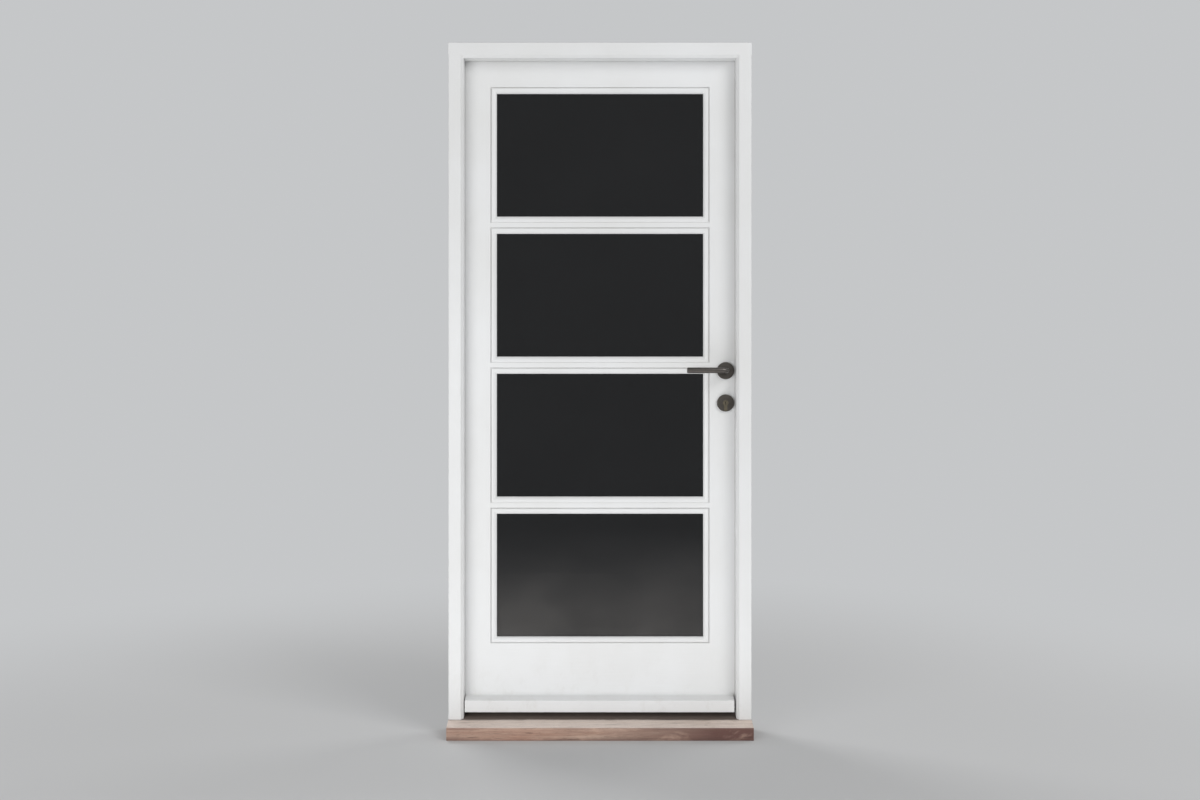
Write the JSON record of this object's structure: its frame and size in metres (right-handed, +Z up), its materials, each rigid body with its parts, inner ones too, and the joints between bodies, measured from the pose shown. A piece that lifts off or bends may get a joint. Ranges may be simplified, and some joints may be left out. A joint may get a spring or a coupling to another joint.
{
  "type": "glazed entrance door in its frame",
  "caption": "Single-leaf white timber entrance door with glazed lights one above another, in a rebated frame with hardwood sill, weather bar, lever handle and cylinder lock.",
  "frame": {"origin": "on the underside of the sill, at the middle of the width, under the frame's outer face", "axes": "+X to the right as seen from outdoors, +Y into the building, +Z up"},
  "size_m": [0.91, 0.209, 2.081],
  "materials": {
    "painted_frame": "satin white paint on timber",
    "painted_leaf": "satin white paint on timber",
    "bare_hardwood": "bare weathered hardwood",
    "galvanised_steel": "dull galvanised",
    "black_rubber": "matt black",
    "glazing_tape": "matt black foam",
    "plastic_block": "matt black",
    "clear_glass": "clear float glass",
    "spacer_aluminium": "mill finish",
    "hinge_steel": "satin",
    "lock_steel": "satin",
    "dark_bronze": "satin dark bronze",
    "cylinder_brass": "satin"
  },
  "bodies": {
    "frame": {"sill": "bare_hardwood", "water_bar": "galvanised_steel", "frame_head": "painted_frame", "jamb_lock_side": "painted_frame", "jamb_hinge_side": "painted_frame", "seal_lock_side": "black_rubber", "seal_hinge_side": "black_rubber", "seal_head": "black_rubber", "strike_plate": "lock_steel", "frame_screws": "hinge_steel", "frame_flap_1": "hinge_steel", "frame_flap_2": "hinge_steel", "frame_flap_3": "hinge_steel", "hinge_pins": "hinge_steel"},
    "leaf": {"stile_lock_side": "painted_leaf", "stile_hinge_side": "painted_leaf", "top_rail": "painted_leaf", "bottom_rail": "painted_leaf", "glazing_bar_1": "painted_leaf", "glazing_bar_2": "painted_leaf", "glazing_bar_3": "painted_leaf", "weather_bar": "painted_leaf", "bottom_seal": "black_rubber", "leaf_screws": "hinge_steel", "leaf_flap_1": "hinge_steel", "leaf_flap_2": "hinge_steel", "leaf_flap_3": "hinge_steel", "lock_case": "lock_steel", "lock_faceplate": "lock_steel", "rose_outside": "dark_bronze", "rose_inside": "dark_bronze", "escutcheon_outside": "dark_bronze", "escutcheon_inside": "dark_bronze", "cylinder_body": "cylinder_brass", "cylinder_screw": "lock_steel", "spacer_bars": "spacer_aluminium", "glazing_tapes": "glazing_tape", "setting_blocks": "plastic_block", "outer_pane_1": "clear_glass", "inner_pane_1": "clear_glass", "beads_1": "painted_leaf", "outer_pane_2": "clear_glass", "inner_pane_2": "clear_glass", "beads_2": "painted_leaf", "outer_pane_3": "clear_glass", "inner_pane_3": "clear_glass", "beads_3": "painted_leaf", "outer_pane_4": "clear_glass", "inner_pane_4": "clear_glass", "beads_4": "painted_leaf"},
    "handle": {"lever_outside": "dark_bronze", "lever_inside": "dark_bronze", "spindle": "lock_steel", "follower": "lock_steel"},
    "latch": {"latch_bolt": "lock_steel"},
    "deadbolt": {"deadbolt": "lock_steel"},
    "outer_plug_and_cam": {"outer_plug": "cylinder_brass", "cylinder_cam": "cylinder_brass"},
    "inner_plug": {"inner_plug": "cylinder_brass"}
  },
  "joints": [
    {"name": "leaf_swing", "type": "hinge", "parent": "frame", "child": "leaf", "pos_m": [-0.4205, 0.1008, 1.05], "axis": [0, 0, 1], "range_deg": [0, 110]},
    {"name": "handle_turn", "type": "hinge", "parent": "leaf", "child": "handle", "pos_m": [0.381, 0.072, 1.097], "axis": [0, -1, 0], "range_deg": [0, 35], "stiffness_Nm_per_rad": 1.2, "springref_deg": -28.65},
    {"name": "latch_slide", "type": "slide", "parent": "leaf", "child": "latch", "axis": [1, 0, 0], "range_m": [0, 0.012]},
    {"name": "outer_plug_turn", "type": "hinge", "parent": "leaf", "child": "outer_plug_and_cam", "pos_m": [0.381, 0.072, 0.999], "axis": [0, 1, 0], "range_deg": [0, 360]},
    {"name": "deadbolt_slide", "type": "slide", "parent": "leaf", "child": "deadbolt", "axis": [1, 0, 0], "range_m": [0, 0.02]},
    {"name": "inner_plug_turn", "type": "hinge", "parent": "leaf", "child": "inner_plug", "pos_m": [0.381, 0.072, 0.999], "axis": [0, 1, 0], "range_deg": [0, 360]}
  ],
  "couplings": [
    {"joint": "outer_plug_turn", "follows": "deadbolt_slide", "rad_per_m": 314.15}
  ]
}
